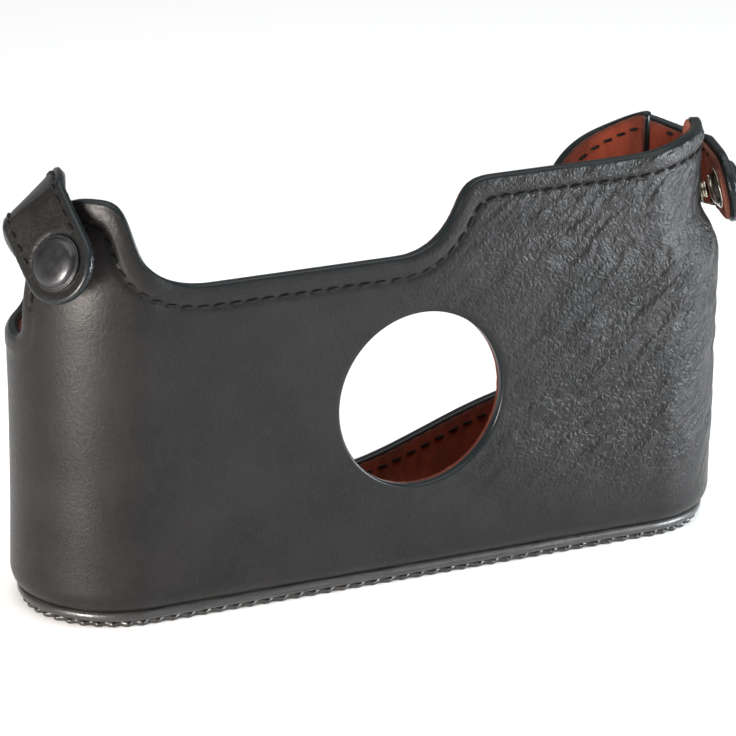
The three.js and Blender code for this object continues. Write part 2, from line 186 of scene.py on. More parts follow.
def inward(points, closed):
    """The direction to the left of a line at each of its points."""
    if closed:
        along = np.roll(points, -1, axis=0) - np.roll(points, 1, axis=0)
    else:
        along = np.gradient(points, axis=0)
    along = unit(along)
    return np.stack([-along[:, 1], along[:, 0]], axis=1)


def distances(points, path):
    """How far each point is from a path of closely spaced points."""
    tree = kdtree.KDTree(len(path))
    for index, (x, y) in enumerate(path):
        tree.insert((x, y, 0), index)
    tree.balance()
    return np.array([tree.find((x, y, 0))[2] for x, y in points])


# ---- the wall's shape ----


def belly_inset(z):
    below = np.clip((WALL_BOTTOM + BELLY_RISE - np.asarray(z, float)) / BELLY_RISE, 0, 1)
    return BELLY_INSET * quarter_drop(below)


def half_straight(side, z):
    """Half the length of the flat walls at a height: each end leans in towards the rim."""
    left, right = (depth * smoothstep(z, low, high) for depth, low, high in (LEFT_LEAN, RIGHT_LEAN))
    return STRAIGHT - np.where(np.asarray(side) < 0, left, right)


def wrap_wall(s, z, level):
    """Where a pattern point lies on the wall, with its level out from the nominal outer face."""
    s, z = np.asarray(s, float), np.asarray(z, float)
    side = np.where(s < 0, -1.0, 1.0)
    away = np.abs(s)
    angle = np.clip((away - STRAIGHT) / HALF_DEPTH, 0, math.pi)
    flat = np.minimum(away, STRAIGHT) - np.clip(away - STRAIGHT - ROUND_END, 0, None)
    radius = HALF_DEPTH - belly_inset(z) + level
    x = side * (half_straight(side, z) * flat / STRAIGHT + radius * np.sin(angle))
    return np.stack([x, -radius * np.cos(angle), z + 0 * x], axis=-1)


def s_at_x(x, z, front):
    """The s of a point drawn on the back or front wall in x and z."""
    side = np.where(x < 0, -1.0, 1.0)
    half = half_straight(side, z)
    radius = HALF_DEPTH - belly_inset(z)
    past = np.clip((np.abs(x) - half) / radius, 0, 1)
    away = np.where(past > 0, STRAIGHT + HALF_DEPTH * np.arcsin(past), np.abs(x) * STRAIGHT / half)
    return side * (SEAM_S - away if front else away)


def s_at_y(y, side):
    return side * (STRAIGHT + HALF_DEPTH * np.arccos(-np.asarray(y, float) / HALF_DEPTH))


def back_edge():
    rim, dip, right, rise = BACK_LEFT_TOP, DIP_FLOOR, BACK_RIGHT_TOP, CORNER_RISE
    edge = np.vstack([
        bezier((-62.3, rim), (-58.2, rim), (-58.2, 77), (-55.6, 71.2)),
        bezier((-55.6, 71.2), (-52.4, 67.4), (-48.5, dip + 0.3), (-43, dip)),
        bezier((-4, dip), (1.5, dip), (5, 68.2), (7.3, 72.4)),
        bezier((7.3, 72.4), (9, 76), (9.4, right), (15, right)),
        bezier((44, right), (51, right), (56, rise), (63, rise)),
    ])
    return np.stack([s_at_x(edge[:, 0], edge[:, 1], False), edge[:, 1]], axis=1)


def front_edge(side):
    """One half of the lens cut-out's edge, from the notch to the middle of the front wall."""
    if side < 0:
        corner = np.vstack([bezier((50.5, 58), (51.5, 68), (56, 71.5), (66, 74.5)), line((86, 76))])
    else:
        corner = np.vstack([
            bezier((50.5, 58), (51.5, 67), (57, 71), (62.6, 73.9)),
            bezier((62.6, 73.9), (66.5, 76), (68.5, 78), (73, CORNER_RISE - 1)),
        ])
    reach = np.vstack([
        line((10, LENS_FLOOR)),
        bezier((10, LENS_FLOOR), (20, 13), (31, 18.6), (42, 20.9)),
        bezier((42, 20.9), (46, 22), (48, 25), (49, 31)),
        corner,
    ])
    reach = resample(reach, 0.5)
    x = LENS_AXIS_X + side * reach[:, 0]
    s = s_at_x(x, reach[:, 1], True)
    far = s_at_y(SIDES[SIDE_NAMES[side]]["notch_far"], side)
    kept = np.abs(s) > abs(far)
    edge = np.stack([s[kept], reach[kept, 1]], axis=1)
    height = np.interp(abs(far), np.abs(s[::-1]), reach[::-1, 1])
    return np.vstack([line((side * SEAM_S, LENS_FLOOR)), edge, line((far, height))])[::-1]


def notch_edge(side):
    """Round the soft corner of the back wall, down the lug notch and across its floor."""
    floor_round = 4.0
    spec = SIDES[SIDE_NAMES[side]]
    near, far, floor, rim = NOTCH_NEAR, spec["notch_far"], NOTCH_FLOOR, spec["rim"]
    corner_depth, corner_height = spec["corner"]
    edge = np.vstack([
        bezier((near - corner_depth, rim), (near - corner_depth * 0.4, rim),
               (near, rim - corner_height * 0.4), (near, rim - corner_height)),
        bezier((near, floor + floor_round), (near, floor + 1), (near + 1, floor),
               (near + floor_round, floor), 8),
        bezier((far - floor_round, floor), (far - 1, floor), (far, floor + 1),
               (far, floor + floor_round), 8),
    ])
    return np.stack([s_at_y(edge[:, 0], side), edge[:, 1]], axis=1)


def wall_top():
    """The wall's whole upper edge in s and z, from the front's middle round the left and back."""
    left, right = [front_edge(-1)[::-1], notch_edge(-1)[::-1]], [notch_edge(1), front_edge(1)]
    pieces = [*left, back_edge(), *right]
    return soften(resample(np.vstack(pieces), 0.25), 4)


# ---- flat patterns and the solids made from them ----


EDGE_ROWS = (0.05, 0.16, 0.34, 0.6)       # rows of points along a cut edge, for its rounding
EDGE_ROUND = 0.55
ROW_RATIO = 0.87                         # row gap over point gap, for nearly equal triangles


def triangulate(points, loops):
    """The triangles inside the first loop of point numbers and outside the others."""
    made = delaunay_2d_cdt([Vector(p) for p in points], [], loops, 0, 1e-6)
    first = np.array([sources[0] for sources in made[3]])
    kept = [face for face, owners in zip(made[2], made[5]) if owners == [0]]
    return first[np.array(kept)]


class Blank:
    """A flat pattern. Its outline runs anticlockwise: a cut edge, then its hidden edges."""

    def __init__(self, cut, hidden, holes=(), cut_spacing=0.6):
        self.cut = resample(cut, cut_spacing)[::-1]
        self.outline = np.vstack([self.cut, resample(hidden, 1.2)[1:-1]])
        self.holes = [resample(hole, cut_spacing)[:-1] for hole in holes]
        rims = [self.cut, *[np.vstack([hole, hole[:1]]) for hole in self.holes]]
        self.edge = np.vstack([resample(rim, 0.15) for rim in rims])
        self.rims = [(self.cut, inward(self.cut, False))]
        self.rims += [(hole, inward(hole, True)) for hole in self.holes]

    def fill(self, spacing):
        """Points inside the pattern: rows along its cut edges, then a staggered grid."""
        found = []
        for depth in EDGE_ROWS:
            row = np.vstack([rim + side * depth for rim, side in self.rims])
            found.append(row[distances(row, self.edge) > depth * 0.9])
        low, high = self.outline.min(0), self.outline.max(0)
        xs = np.arange(low[0] + spacing / 2, high[0], spacing)
        ys = np.arange(low[1] + spacing / 2, high[1], spacing * ROW_RATIO)
        grid = np.stack(np.meshgrid(xs, ys), axis=-1)
        grid[1::2, :, 0] += spacing / 2
        grid = grid.reshape(-1, 2)
        grid = grid[(grid[:, 0] < high[0] - 0.2) & (grid[:, 1] < high[1] - 0.2)]
        found.append(grid[distances(grid, self.edge) > EDGE_ROWS[-1] + spacing * 0.6])
        return np.vstack(found)

    def triangles(self, inside):
        """(points, triangles), with the outline's and the holes' points first."""
        loops = [self.outline, *self.holes]
        points = np.vstack([*loops, inside])
        faces, start = [], 0
        for loop in loops:
            turn = 1 if loop is self.outline else -1
            faces.append(list(range(start, start + len(loop)))[::turn])
            start += len(loop)
        return points, triangulate(points, faces)


def edge_drop(distance):
    """How far a cut edge's rounding lowers the face, at a distance from the edge."""
    inside = np.clip(1 - distance / EDGE_ROUND, 0, 1)
    return EDGE_ROUND * quarter_drop(inside)


def sheet(name, blank, wrap, levels, relief, spacing, drawn=None, closed_seam=False):
    """A solid sheet of leather or suede cut to a blank, from an outer to an inner level.

    spacing is that of the outer and the inner face's points. relief gives the outer face's height,
    and the inner face's with the sign turned round. drawn is how strongly the grain is drawn up."""
    outer, inner = levels
    vertices, pattern, paint, faces = [], [], [], []
    for face_side, level, gap in ((1, outer, spacing[0]), (-1, inner, spacing[1])):
        points, triangles = blank.triangles(blank.fill(gap))
        depth = distances(points, blank.edge)
        bump = relief(points, depth, face_side)
        height = level + face_side * (bump - edge_drop(depth))
        start = sum(len(v) for v in vertices)
        vertices.append(wrap(points[:, 0], points[:, 1], height))
        pattern.append(np.column_stack([points, height]))
        paint.append(1 - smoothstep(depth, 0.25, 0.75))
        faces += (triangles[:, ::face_side] + start).tolist()
    second, start = len(vertices[0]), 0
    for loop in [blank.outline, *blank.holes]:
        for i in range(len(loop)):
            a, b = start + i, start + (i + 1) % len(loop)
            faces.append([b, a, second + a, second + b])
        start += len(loop)
    values = {"paint": np.concatenate(paint)}
    if drawn is not None:
        values["drawn"] = np.concatenate([drawn(p[:, :2]) for p in pattern])
    weld_mm = 0.02 if closed_seam else 0
    return mesh_object(name, np.vstack(vertices), faces, np.vstack(pattern), weld_mm, **values)


def set_attribute(mesh, name, values):
    vector = values.ndim == 2
    kind, field = ("FLOAT_VECTOR", "vector") if vector else ("FLOAT", "value")
    attribute = mesh.attributes.new(name, kind, "POINT")
    attribute.data.foreach_set(field, values.astype(np.float32).ravel())


def finish_mesh(mesh, weld_mm=0):
    """Drops loose points, joins seams and turns every face outward."""
    shape = bmesh.new()
    shape.from_mesh(mesh)
    bmesh.ops.delete(shape, geom=[v for v in shape.verts if not v.link_faces], context="VERTS")
    if weld_mm:
        bmesh.ops.remove_doubles(shape, verts=shape.verts, dist=weld_mm * MM)
    bmesh.ops.recalc_face_normals(shape, faces=shape.faces)
    shape.to_mesh(mesh)
    shape.free()
    mesh.polygons.foreach_set("use_smooth", [True] * len(mesh.polygons))
    mesh.update()


def add_object(name, mesh):
    made = bpy.data.objects.new(name, mesh)
    bpy.context.scene.collection.objects.link(made)
    return made


def mesh_object(name, points, faces, pattern, weld_mm=0, **values):
    """An object from points in millimetres, with its pattern points and values as attributes."""
    mesh = bpy.data.meshes.new(name)
    mesh.from_pydata((np.array(points) + CENTRE) * MM, [], faces)
    for key, each in {"pattern": pattern, **values}.items():
        set_attribute(mesh, key, np.array(each))
    finish_mesh(mesh, weld_mm)
    return add_object(name, mesh)


def tube_faces(start, rings, around):
    """The faces of a closed tube whose rings of points begin at a vertex number."""
    faces = []
    for ring in range(rings - 1):
        for k in range(around):
            a, b = start + ring * around + k, start + ring * around + (k + 1) % around
            faces.append((a, b, b + around, a + around))
    faces.append([start + k for k in range(around)][::-1])
    faces.append([start + (rings - 1) * around + k for k in range(around)])
    return faces


def finish_piece(piece, material, nodes, body="case"):
    """Gives a piece its material, and sets it in its CAD nodes' place."""
    piece.data.materials.append(material)
    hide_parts(*nodes)
    if body:
        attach(piece, body)


def stitches(name, seams, wrap, level, side=1, radius=0.28, length=STITCH_LENGTH):
    """Separate thread stitches along seams of (points, pitch). Both ends dive into the leather."""
    rings, around, slant = 7, 8, 0.13
    wide_share, tall_share = 1.15, 0.9
    vertices, faces, pattern = [], [], []
    for seam, pitch in seams:
        path = resample(seam, pitch)
        middles = (path[1:] + path[:-1]) / 2
        ways = unit(path[1:] - path[:-1])
        for middle, way in zip(middles, ways):
            across = np.array([-way[1], way[0]])
            t = np.linspace(-1, 1, rings)
            flat = middle + np.outer(t * length / 2, way) + np.outer(t * slant, across)
            rise = level + side * (radius * 0.95 * (1 - t ** 4) - radius * 0.95)
            spine = wrap(flat[:, 0], flat[:, 1], rise)
            out = unit(wrap(flat[:, 0], flat[:, 1], rise + side) - spine)
            along = unit(np.gradient(spine, axis=0))
            wide = np.cross(along, out)
            taper = np.sqrt(np.clip(1 - np.abs(t) ** 5 * 0.9, 0, 1))
            start = len(vertices)
            for ring in range(rings):
                for k in range(around):
                    turn = 2 * math.pi * k / around
                    offset = wide[ring] * math.cos(turn) * wide_share
                    offset = offset + out[ring] * math.sin(turn) * tall_share
                    vertices.append(spine[ring] + offset * radius * taper[ring])
                    pattern.append((t[ring] * length / 2, turn, 0))
            faces += tube_faces(start, rings, around)
    return mesh_object(name, vertices, faces, pattern)


def lathe(name, profile, matrix):
    """A turned piece about the z axis of a matrix, from a profile of (radius, height)."""
    profile = resample(np.array(profile, float), 0.12)
    profile = np.vstack([profile[:1], soften(profile, 2)[1:-1], profile[-1:]])
    segments = 72
    angles = np.linspace(0, 2 * math.pi, segments, endpoint=False)
    shape = bmesh.new()
    rings = []
    for radius, height in profile:
        if radius < 0.02:
            rings.append([shape.verts.new((0, 0, height))])
        else:
            ring = [(radius * math.cos(a), radius * math.sin(a), height) for a in angles]
            rings.append([shape.verts.new(point) for point in ring])
    for low, high in zip(rings, rings[1:]):
        for k in range(segments):
            after = k + 1
            ring = [low[k % len(low)], low[after % len(low)]]
            ring += [high[after % len(high)], high[k % len(high)]]
            corners = list(dict.fromkeys(ring))
            if len(corners) > 2:
                shape.faces.new(corners)
    if np.allclose(profile[0], profile[-1]):
        bmesh.ops.remove_doubles(shape, verts=shape.verts, dist=1e-4)
    bmesh.ops.recalc_face_normals(shape, faces=shape.faces)
    local = np.array([v.co for v in shape.verts])
    mesh = bpy.data.meshes.new(name)
    shape.to_mesh(mesh)
    shape.free()
    placed = local @ matrix[:3, :3].T + matrix[:3, 3]
    mesh.vertices.foreach_set("co", ((placed + CENTRE) * MM).astype(np.float32).ravel())
    set_attribute(mesh, "pattern", local)
    mesh.polygons.foreach_set("use_smooth", [True] * len(mesh.polygons))
    mesh.update()
    return add_object(name, mesh)


# ---- materials ----


class Graph:
    """A node material on a Principled shader, with short ways to add nodes."""

    def __init__(self, name, **shader_values):
        self.material = bpy.data.materials.new(name)
        self.material.use_nodes = True
        self.tree = self.material.node_tree
        self.shader = self.tree.nodes["Principled BSDF"]
        for key, value in shader_values.items():
            self.shader.inputs[key.replace("_", " ")].default_value = value

    def set(self, socket, value):
        if isinstance(value, bpy.types.NodeSocket):
            self.tree.links.new(value, socket)
        else:
            socket.default_value = value

    def add(self, kind, settings, inputs):
        node = self.tree.nodes.new("ShaderNode" + kind)
        for key, value in settings.items():
            setattr(node, key, value)
        for key, value in inputs.items():
            self.set(node.inputs[key], value)
        return node

    def attribute(self, name, output="Fac"):
        return self.add("Attribute", {"attribute_name": name}, {}).outputs[output]

    def noise(self, vector, scale, detail=3, roughness=0.5, output="Fac"):
        inputs = {"Vector": vector, "Scale": scale, "Detail": detail, "Roughness": roughness}
        return self.add("TexNoise", {}, inputs).outputs[output]

    def cells(self, vector, scale):
        inputs = {"Vector": vector, "Scale": scale}
        return self.add("TexVoronoi", {"feature": "DISTANCE_TO_EDGE"}, inputs).outputs["Distance"]

    def stretch(self, vector, scale, turn=0.0):
        inputs = {"Vector": vector, "Scale": scale, "Rotation": (0, 0, turn)}
        return self.add("Mapping", {"vector_type": "TEXTURE"}, inputs).outputs["Vector"]

    def math(self, operation, a, b=0.0):
        return self.add("Math", {"operation": operation}, {0: a, 1: b}).outputs[0]

    def times(self, a, b):
        return self.math("MULTIPLY", a, b)

    def plus(self, a, b):
        return self.math("ADD", a, b)

    def vector(self, operation, inputs):
        return self.add("VectorMath", {"operation": operation}, inputs).outputs[0]

    def span(self, value, low, high, to_low=0.0, to_high=1.0):
        inputs = {"Value": value, "From Min": low, "From Max": high, "To Min": to_low, "To Max": to_high}
        return self.add("MapRange", {"interpolation_type": "SMOOTHSTEP"}, inputs).outputs["Result"]

    def mix(self, factor, a, b):
        node = self.add("Mix", {"data_type": "RGBA"}, {0: factor, 6: a, 7: b})
        return node.outputs[2]

    def warp(self, vector, scale, amount):
        push = self.noise(vector, scale, 2, 0.5, "Color")
        centred = self.vector("SUBTRACT", {0: push, 1: (0.5, 0.5, 0.5)})
        scaled = self.vector("SCALE", {0: centred, "Scale": amount})
        return self.vector("ADD", {0: vector, 1: scaled})

    def bump(self, height, depth_mm, normal=None):
        inputs = {"Height": height, "Distance": depth_mm * MM, "Strength": 1.0}
        if normal is not None:
            inputs["Normal"] = normal
        return self.add("Bump", {}, inputs).outputs["Normal"]

    def finish(self, colour=None, roughness=None, normal=None):
        for key, value in (("Base Color", colour), ("Roughness", roughness), ("Normal", normal)):
            if value is not None:
                self.set(self.shader.inputs[key], value)
        return self.material


def grey(value, blue=1.0):
    return (value, value, value * blue, 1.0)


PEBBLE_BUMP = 0.19
FOLD_BUMP = 0.4


def leather_material():
    g = Graph("black_leather", Specular_IOR_Level=0.19, Sheen_Weight=0.01, Sheen_Roughness=0.4)
    spot = g.attribute("pattern", "Vector")
    paint, drawn = g.attribute("paint"), g.attribute("drawn")
    bent = g.warp(spot, 0.5, 1.6)
    pebbles = g.span(g.cells(bent, 0.8), 0.0, 0.3)
    pores = g.noise(spot, 3.4, 4, 0.6)
    folds = g.noise(g.stretch(g.warp(spot, 0.25, 2.2), (3.6, 0.9, 1.0), math.radians(34)), 0.8, 2)
    cracks = g.span(g.cells(g.warp(spot, 0.16, 5.0), 0.34), 0.0, 0.05, 1.0, 0.0)
    fine = g.plus(g.times(pebbles, 0.5), g.times(pores, 0.6))
    plain = g.math("SUBTRACT", 1.0, paint)
    worked = g.plus(g.times(drawn, 0.85), 0.15)
    normal = g.bump(g.times(fine, g.times(plain, worked)), PEBBLE_BUMP)
    normal = g.bump(g.times(folds, g.times(drawn, plain)), FOLD_BUMP, normal)
    blotch = g.noise(spot, 0.07, 4, 0.6)
    hide = g.mix(g.span(blotch, 0.3, 0.7), grey(0.0045), (0.009, 0.0083, 0.008, 1))
    hide = g.mix(g.times(g.span(pores, 0.45, 0.8), 0.35), hide, grey(0.018, 1.05))
    hide = g.mix(g.times(cracks, g.times(worked, 0.3)), hide, grey(0.06))
    colour = g.mix(paint, hide, (0.006, 0.0085, 0.0095, 1))
    rough = g.span(g.noise(spot, 0.9, 4, 0.65), 0.25, 0.75, 0.34, 0.46)
    rough = g.plus(g.times(rough, plain), g.times(paint, 0.27))
    return g.finish(colour, rough, normal)


def suede_material():
    g = Graph("rust_suede", Specular_IOR_Level=0.15, Sheen_Weight=0.55, Sheen_Roughness=0.45,
              Sheen_Tint=(0.95, 0.42, 0.3, 1))
    spot = g.attribute("pattern", "Vector")
    nap = g.noise(g.stretch(g.warp(spot, 0.2, 3.0), (1.0, 2.6, 1.0), 0.3), 0.16, 4, 0.6)
    fibre_and_highlight = g.noise(g.stretch(spot, (0.6, 1.6, 1.0), 0.2), 4.2, 5, 0.7)
    colour = g.mix(g.span(nap, 0.32, 0.7), (0.06, 0.009, 0.005, 1), (0.21, 0.035, 0.017, 1))
    # Painted highlight: where the fibre noise is high the suede is mixed towards a bright rust, standing in
    # for light catching the fibre tips. The same noise also gives the nap's bump and roughness.
    colour = g.mix(g.span(fibre_and_highlight, 0.4, 0.75, 0, 0.7), colour, (0.32, 0.075, 0.038, 1))
    colour = g.mix(g.times(g.attribute("paint"), 0.75), colour, (0.03, 0.012, 0.01, 1))
    height = g.plus(g.times(nap, 0.8), fibre_and_highlight)
    return g.finish(colour, g.span(fibre_and_highlight, 0.2, 0.8, 0.85, 1.0), g.bump(height, 0.22))


def burnished_material():
    """Stacked and burnished leather edges: faint layer lines under a waxed gloss."""
    g = Graph("burnished_edge", Specular_IOR_Level=0.5, Coat_Weight=0.25, Coat_Roughness=0.25)
    spot = g.attribute("pattern", "Vector")
    layers = g.noise(g.stretch(spot, (9.0, 9.0, 0.32)), 1.0, 3)
    grain = g.noise(spot, 1.7, 4, 0.6)
    colour = g.mix(g.span(layers, 0.35, 0.7), grey(0.007), (0.021, 0.019, 0.018, 1))
    height = g.plus(layers, g.times(grain, 0.6))
    return g.finish(colour, g.span(grain, 0.3, 0.7, 0.32, 0.5), g.bump(height, 0.09))


def thread_material():
    g = Graph("waxed_thread", Specular_IOR_Level=0.12)
    spot = g.attribute("pattern", "Vector")
    twist = g.add("SeparateXYZ", {}, {0: spot})
    angle = g.plus(g.times(twist.outputs[0], 9.0), twist.outputs[1])
    ply = g.math("ABSOLUTE", g.math("SINE", angle))
    colour = g.mix(ply, grey(0.002), grey(0.008))
    return g.finish(colour, g.span(ply, 0, 1, 0.75, 0.5), g.bump(ply, 0.09))


def metal_material(name, dark, light, rough, metallic, wear_colour, coat=0.0):
    g = Graph(name, Metallic=metallic, Coat_Weight=coat, Coat_Roughness=0.12)
    spot = g.attribute("pattern", "Vector")
    cloud = g.noise(spot, 0.45, 4, 0.6)
    scratches = g.noise(g.stretch(g.warp(spot, 0.4, 0.8), (7.0, 0.5, 1.0), 0.6), 1.4, 3, 0.7)
    colour = g.mix(g.span(cloud, 0.35, 0.7), dark, light)
    colour = g.mix(g.span(scratches, 0.62, 0.75, 0, 0.5), colour, wear_colour)
    roughness = g.span(cloud, 0.3, 0.7, rough * 0.8, rough * 1.25)
    return g.finish(colour, roughness, g.bump(scratches, 0.01))


def board_material():
    g = Graph("leather_board", Specular_IOR_Level=0.2)
    spot = g.add("TexCoord", {}, {}).outputs["Object"]
    flecks = g.noise(spot, 900.0, 4, 0.7)
    colour = g.mix(g.span(flecks, 0.35, 0.7), (0.09, 0.055, 0.03, 1), (0.26, 0.18, 0.11, 1))
    return g.finish(colour, g.span(flecks, 0.3, 0.7, 0.8, 0.95), g.bump(flecks, 0.2))


def floor_material():
    g = Graph("studio_floor", Specular_IOR_Level=0.2, Roughness=0.6)
    spot = g.add("TexCoord", {}, {}).outputs["Object"]
    tone = g.noise(spot, 3.0, 3)
    return g.finish(g.mix(tone, grey(0.86), grey(0.9)))


# ---- wall ----

SLACK = (0.22, 0.08)                     # broad and small unevenness of the hide
RIM_PAD = 0.26
SEAM_DEPTH = 0.34
GRAIN_DEPTH = 0.58
STRAP_SEAM_DEPTH = 0.22
STRAP_GRAIN = 0.12                       # how strongly the straps' grain is drawn up


def window_loop():
    x, z, radius = WINDOW
    angles = np.linspace(0, 2 * math.pi, 181)[::-1]
    points = np.stack([x + radius * np.cos(angles), z + radius * np.sin(angles)], axis=1)
    return np.stack([s_at_x(points[:, 0], points[:, 1], False), points[:, 1]], axis=1)


def wall_seams(top):
    """The seam lines below the upper edge: round the back and its notches, and each front half."""
    side = -inward(top, False)
    near = s_at_y(NOTCH_NEAR, 1)
    inset = SEAM_INSET - NOTCH_SEAM_SHIFT * smoothstep(np.abs(top[:, 0]), near - 7, near - 0.5)
    line_at = top + side * inset[:, None]
    back = (np.abs(top[:, 0]) < near + 0.3) & (top[:, 1] > NOTCH_FLOOR + 7)
    left_far, right_far = (s_at_y(spec["notch_far"], spec["side"]) for spec in SIDES.values())
    left_front, right_front = top[:, 0] < left_far - 2, top[:, 0] > right_far + 2
    return [soften(resample(line_at[kept], 0.5), 4) for kept in (back, left_front, right_front)]


def grain_strength(points):
    """The grain is drawn up at the right end and lies smooth at the left and along the base."""
    s, z = points[:, 0], points[:, 1]
    right = smoothstep(s, -10, 58) * smoothstep(z, 5, 26)
    patch = 0.82 + 0.3 * noise(s / 17, z / 13, 8)
    return np.clip(right * patch * (1 - 0.5 * smoothstep(s, 90, 120)), 0, 1)


def wrinkles(s, z):
    """Long round folds with sharp valleys, rising to the right."""
    turn = np.radians(31 + 9 * smoothstep(s, 45, 85))
    pushed = z + 1.5 * noise(s / 9, z / 7, 11)
    along = s * np.cos(turn) + pushed * np.sin(turn)
    across = pushed * np.cos(turn) - s * np.sin(turn)
    broad = noise(along / 7.5, across / 1.35, 12)
    valleys = np.sqrt(noise(along / 5.0, across / 2.1, 13) ** 2 + 0.01)
    return 0.6 * broad + 0.7 * valleys - 0.3


def wall_relief(seams):
    """The wall's outer face: slack in the hide, a padded rim, a pulled-in seam and drawn grain."""
    stitch_line = np.vstack([resample(seam, 0.2) for seam in seams])

    def relief(points, depth, face_side):
        if face_side < 0:
            return 0 * depth
        s, z = points[:, 0], points[:, 1]
        flat = smoothstep(depth, 0.1, 1.2)
        from_seam = distances(points, stitch_line)
        slack = SLACK[0] * noise(s / 34, z / 25, 3) + SLACK[1] * noise(s / 12, z / 10, 4)
        from_window = np.hypot(s - WINDOW[0], z - WINDOW[1]) - WINDOW[2]
        rim = RIM_PAD * smoothstep(depth, 0.3, 1.6) * (1 - smoothstep(depth, 3.0, SEAM_INSET + 0.2))
        rim = rim * smoothstep(from_window, 4, 8)
        seam = -SEAM_DEPTH * np.exp(-(from_seam / 0.62) ** 2) - 0.1 * np.exp(-(from_seam / 2.2) ** 2)
        drawn = grain_strength(points)
        calm = smoothstep(from_seam, 0.3, 2.5) * smoothstep(z, WALL_BOTTOM, WALL_BOTTOM + 5)
        grain = GRAIN_DEPTH * drawn * calm * wrinkles(s, z)
        return flat * (slack * smoothstep(z, WALL_BOTTOM, 12) + rim + seam + grain)

    return relief


def lining_relief(points, depth, face_side):
    s, z = points[:, 0], points[:, 1]
    if face_side > 0:
        return 0 * depth
    return smoothstep(depth, 0.3, 2) * (0.12 * noise(s / 15, z / 12, 21) + 0.05 * noise(s / 3, z / 3, 22))


def build_wall(materials):
    top = wall_top()
    hidden = line(top[0], (-SEAM_S, WALL_BOTTOM), (SEAM_S, WALL_BOTTOM), top[-1])
    seams = wall_seams(top)
    blank = Blank(top, hidden, [window_loop()])
    leather = sheet("wall", blank, wrap_wall, (0.0, LINING_LEVEL), wall_relief(seams), (0.52, 3.0),
                    grain_strength, closed_seam=True)
    finish_piece(leather, materials["leather"], ["wall_leather"])

    inner_top = top - inward(top, False) * 0.35
    foot = WALL_BOTTOM + 0.4
    inner_hidden = line(inner_top[0], (-SEAM_S, foot), (SEAM_S, foot), inner_top[-1])
    inner_blank = Blank(inner_top, inner_hidden, [window_loop()], 1.0)
    suede = sheet("wall_suede", inner_blank, wrap_wall, (LINING_LEVEL - 0.03, -WALL_THICK - 0.1),
                  lining_relief, (4.0, 1.3), closed_seam=True)
    finish_piece(suede, materials["suede"], ["wall_lining"])

    back, *front = seams
    outside = {"back_rim": ([back], ["back_rim_thread"]), "front_rim": (front, ["front_rim_thread"])}
    for name, (lines, nodes) in outside.items():
        rows = [(seam, STITCH_PITCH) for seam in lines]
        made = stitches(f"{name}_stitches", rows, wrap_wall, -0.1)
        finish_piece(made, materials["thread"], nodes)
        inner = stitches(f"{name}_stitches_inside", rows, wrap_wall, -WALL_THICK - 0.2, side=-1)
        finish_piece(inner, materials["thread"], [])


# ---- sole, welt and floor ----


def stadium(inset, spacing=0.7):
    """The case's plan outline moved in by an inset, anticlockwise from the front wall's left end."""
    radius = HALF_DEPTH - inset
    turn = np.linspace(math.pi / 2, 3 * math.pi / 2, 90)
    left = np.stack([-STRAIGHT + radius * np.cos(turn), radius * np.sin(turn)], axis=1)
    right = -left
    return resample(np.vstack([left, right, left[:1]]), spacing)[:-1]


def hoop(name, section, spacing, wave=None):
    """A closed band round the case. The section is a closed line of (inset, height)."""
    section = np.array(section, float)
    loops = [stadium(0.0, spacing)]
    count = len(loops[0])
    side = inward(loops[0], True)
    along = np.arange(count) * spacing
    vertices, pattern, faces = [], [], []
    for k, (inset, height) in enumerate(section):
        push = np.full(count, inset) + (wave(along, k) if wave else 0)
        ring = loops[0] + side * push[:, None]
        vertices.append(np.column_stack([ring, np.full(count, height)]))
        pattern.append(np.column_stack([along, np.full(count, inset), np.full(count, height)]))
    rings = len(section)
    for k in range(rings):
        for i in range(count):
            a, b = k * count + i, k * count + (i + 1) % count
            c, d = ((k + 1) % rings) * count + (i + 1) % count, ((k + 1) % rings) * count + i
            faces.append((a, b, c, d))
    return mesh_object(name, np.vstack(vertices), faces, np.vstack(pattern))


SOLE_PITCH = 3.2                         # one overcast stitch to the next
SOLE_RING_STEP = 0.4                     # spacing of the points round the sole
SOLE_STITCH_INSET = 2.28
SOLE_STITCH_DIP = 0.9                    # how much further in a stitch's two ends lie
SOLE_STITCH_SLANT = 0.55
SOLE_STITCH_HEIGHT = (0.82, 0.62)        # its middle, and half its rise


def build_base(materials):
    turns = np.linspace(-0.5 * math.pi, 0.5 * math.pi, 13)
    bead = [(2.35 - 1.1 * math.cos(a), 2.28 + 1.08 * math.sin(a)) for a in turns]
    bead += [(4.2, 3.36), (6.0, 3.3), (6.0, 1.25), (4.2, 1.2)]

    def uneven(along, _row):  # hoop passes each wave the row's number too
        return 0.07 * noise(along / 14, np.full_like(along, 0.5), 31)

    welt = hoop("welt_bead", bead, 0.8, uneven)
    finish_piece(welt, materials["burnished"], ["welt"])

    def scallop(along, row):
        return 0.32 * np.cos(2 * math.pi * along / SOLE_PITCH) * (1 if row in (1, 2, 3) else 0.6)

    edge = [(5.0, 0.05), (2.55, 0.06), (2.3, 0.35), (2.3, 0.8), (2.5, 1.12), (5.0, 1.18)]
    rim = hoop("sole_edge", edge, SOLE_RING_STEP, scallop)
    finish_piece(rim, materials["burnished"], ["sole_leather"])


